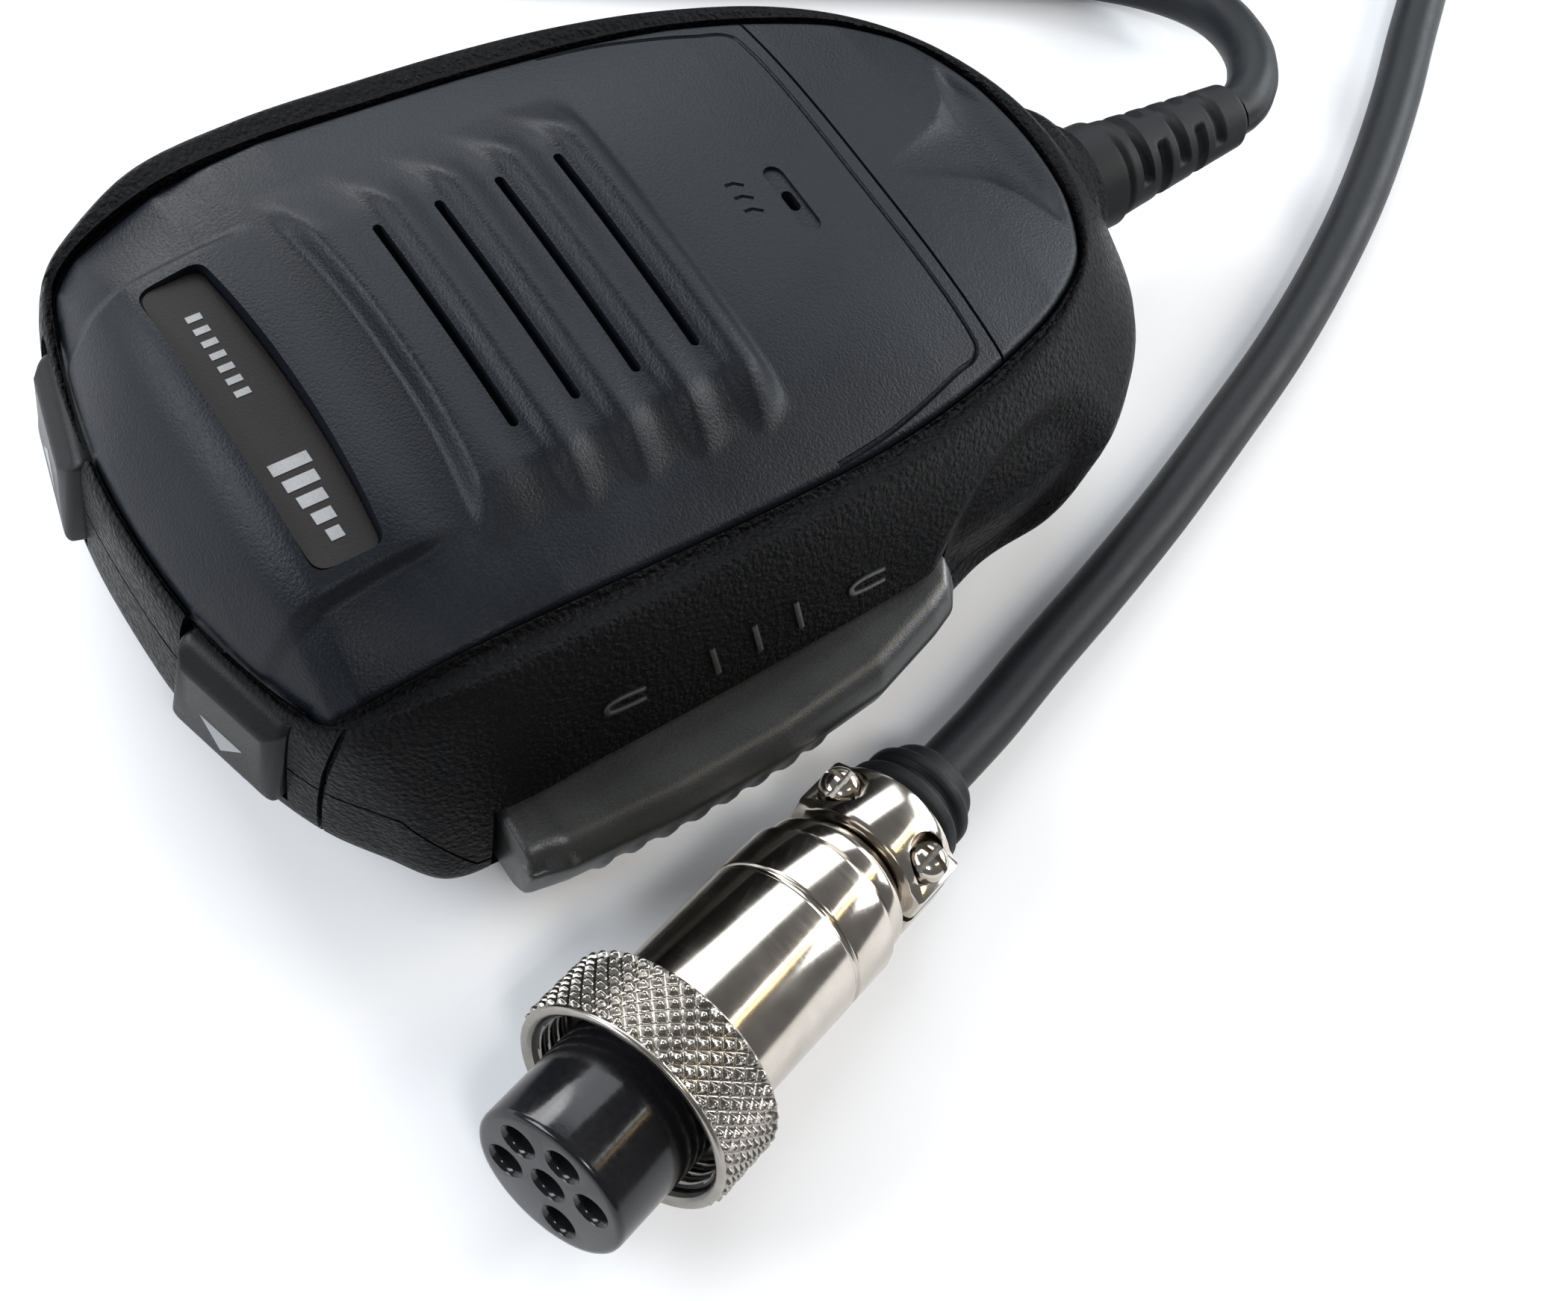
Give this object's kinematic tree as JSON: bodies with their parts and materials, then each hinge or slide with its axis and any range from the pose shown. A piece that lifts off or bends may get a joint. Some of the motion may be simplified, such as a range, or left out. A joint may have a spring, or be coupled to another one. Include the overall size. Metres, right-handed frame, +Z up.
{
  "type": "hand microphone",
  "caption": "Palm-sized hand microphone with a talk bar, two channel buttons, a hang-up stud, a curly cord and a screw-lock plug.",
  "frame": {"origin": "centre of the outer face of the hang-up stud that the microphone lies on", "axes": "+Z up, out of the front face; +Y to the end with the two channel buttons; +X to the side of the UP button, with the talk bar on the -X side"},
  "size_m": [0.1474, 0.182, 0.0341],
  "materials": {
    "panel": "matte charcoal moulding with a fine spark-eroded texture",
    "grained_case": "black moulding with a coarse leather grain",
    "label": "dark brushed label foil",
    "button": "smooth satin black plastic",
    "gloss_black": "glossy black plastic",
    "rubber": "matte black rubber",
    "cord": "matt black cord jacket",
    "nickel": "polished nickel plate",
    "satin_nickel": "satin nickel plate",
    "steel": "zinc-plated steel",
    "brass": "plated brass contact",
    "board": "green solder mask"
  },
  "bodies": {
    "microphone": {"front_panel": "panel", "lower_panel": "panel", "label_plate": "label", "front_case": "grained_case", "rear_cover": "grained_case", "up_switch_body": "steel", "down_switch_body": "steel", "talk_bar_pivot_pin": "steel", "talk_switch_body": "gloss_black", "circuit_board": "board", "board_screw_1": "steel", "board_screw_2": "steel", "voice_capsule": "steel", "voice_capsule_holder": "rubber", "speaker_frame": "steel", "speaker_cone": "rubber", "speaker_magnet": "steel", "hang_stud": "satin_nickel", "hang_stud_screw": "steel", "cover_screw_1": "steel", "cover_screw_2": "steel", "cover_screw_3": "steel", "cover_screw_4": "steel", "strain_relief": "rubber", "cord_mic_tail": "cord", "cord_curl": "cord", "cord_plug_tail": "cord", "plug_shell": "nickel", "plug_insert": "gloss_black", "plug_contact_1": "brass", "plug_contact_2": "brass", "plug_contact_3": "brass", "plug_contact_4": "brass", "plug_contact_5": "brass", "plug_contact_6": "brass", "plug_gland_ring": "nickel", "clamp_saddle_top": "nickel", "clamp_saddle_bottom": "nickel", "clamp_screw_1": "nickel", "clamp_screw_2": "nickel", "plug_sleeve": "rubber"},
    "up_button": {"up_button": "button", "up_switch_plunger": "gloss_black"},
    "down_button": {"down_button": "button", "down_switch_plunger": "gloss_black"},
    "talk_bar": {"talk_bar": "button", "talk_bar_spring": "steel"},
    "talk_switch_plunger": {"talk_switch_plunger": "gloss_black"},
    "coupling_ring": {"plug_coupling_ring": "satin_nickel"}
  },
  "joints": [
    {"name": "up_button_press", "type": "slide", "parent": "microphone", "child": "up_button", "axis": [-0.2588, -0.9659, 0], "range_m": [0, 0.0006], "stiffness_N_per_m": 2000, "springref_m": -0.0003},
    {"name": "down_button_press", "type": "slide", "parent": "microphone", "child": "down_button", "axis": [0.2588, -0.9659, 0], "range_m": [0, 0.0006], "stiffness_N_per_m": 2000, "springref_m": -0.0003},
    {"name": "talk_bar_press", "type": "hinge", "parent": "microphone", "child": "talk_bar", "pos_m": [-0.0252, -0.0123, 0.01], "axis": [0, 0, -1], "range_deg": [0, 2.8], "stiffness_Nm_per_rad": 2, "springref_deg": -1.72},
    {"name": "talk_switch_press", "type": "slide", "parent": "microphone", "child": "talk_switch_plunger", "axis": [1, 0, 0], "range_m": [0, 0.0013]},
    {"name": "coupling_ring_turn", "type": "hinge", "parent": "microphone", "child": "coupling_ring", "pos_m": [-0.05245, 0.0328, 0.01043], "axis": [0.2703, -0.9554, -0.1191], "continuous": true}
  ],
  "couplings": [
    {"joint": "talk_switch_press", "follows": "talk_bar_press", "m_per_rad": 0.0263}
  ]
}
